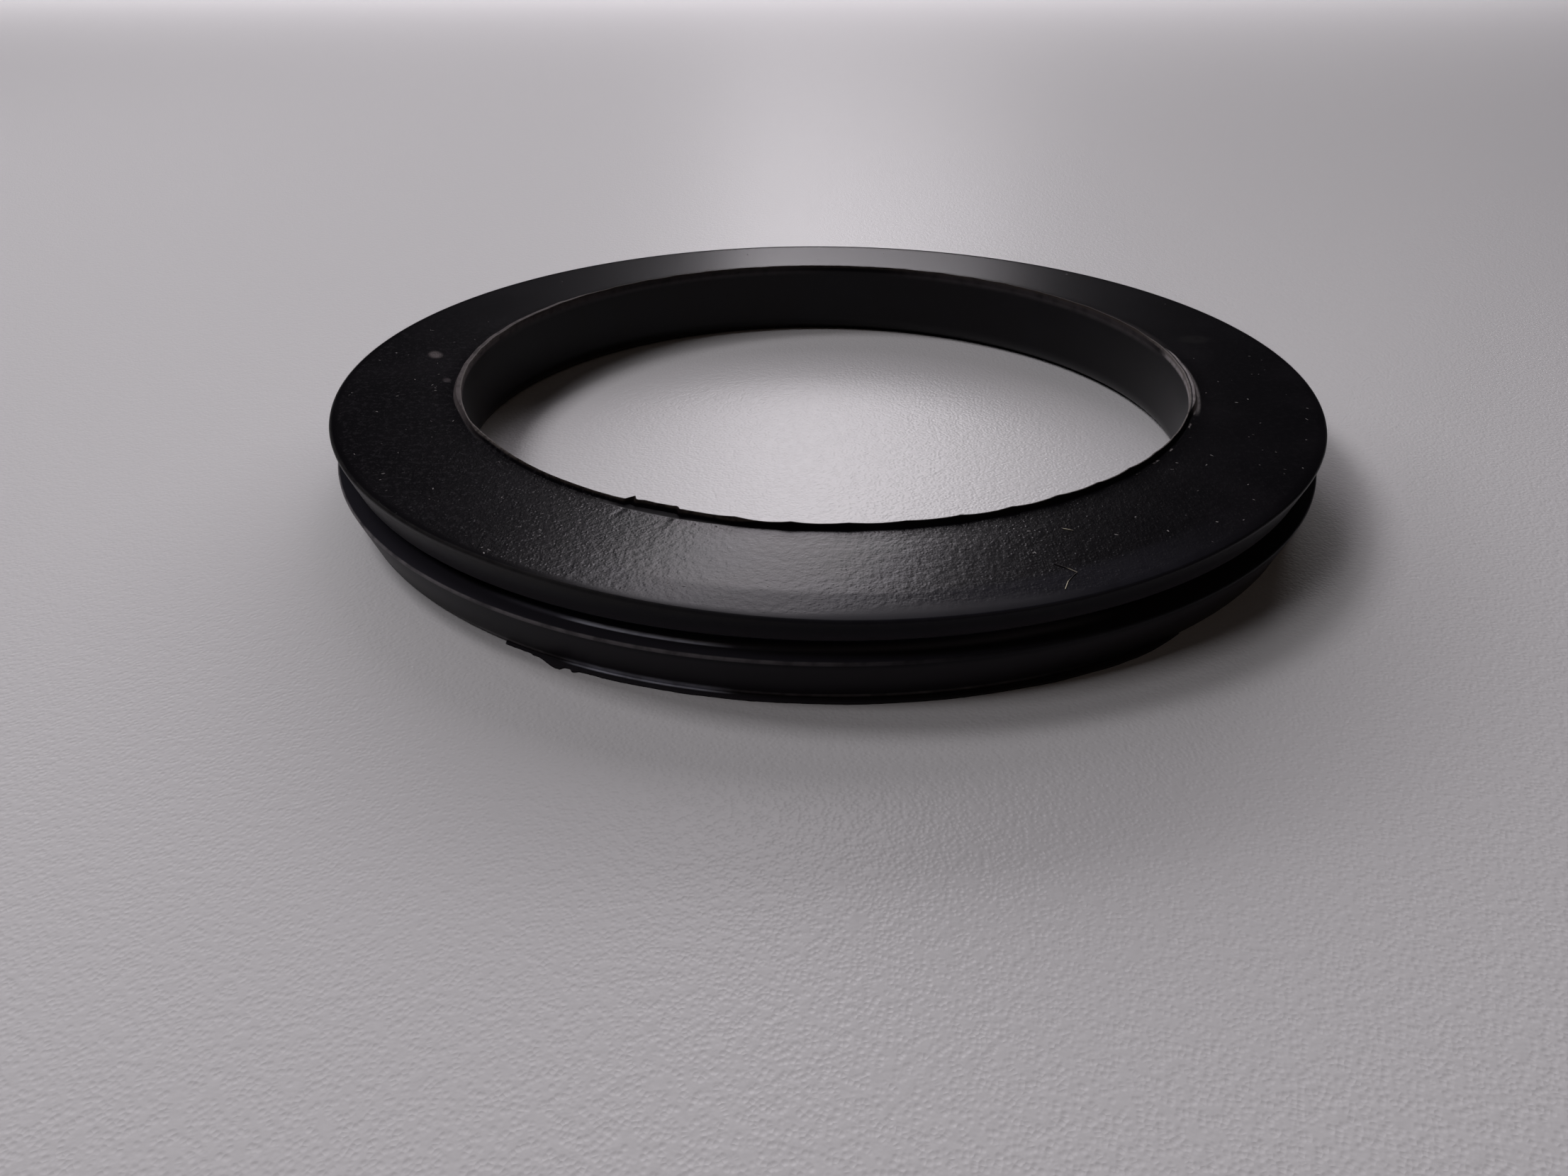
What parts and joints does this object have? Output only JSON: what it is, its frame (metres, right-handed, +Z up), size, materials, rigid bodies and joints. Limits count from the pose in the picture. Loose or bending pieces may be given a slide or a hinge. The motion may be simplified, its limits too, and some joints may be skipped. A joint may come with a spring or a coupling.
{
  "type": "sealing ring",
  "caption": "Flat black rubber sealing ring with a wide top face, a narrow groove round its outer edge and a thin trimmed lip round the bore.",
  "frame": {"origin": "centre of the ring on the plane of its foot, which lies on the surface that the ring rests on", "axes": "+Z up along the bore's axis, from the foot to the flat top face; the flash under the flange is at -Y"},
  "size_m": [0.08, 0.08, 0.0072],
  "materials": {
    "rubber": "satin moulded rubber with a fine blasted grain on the top face and smooth edges"
  },
  "bodies": {
    "root": {"seal_ring": "rubber"}
  },
  "joints": []
}
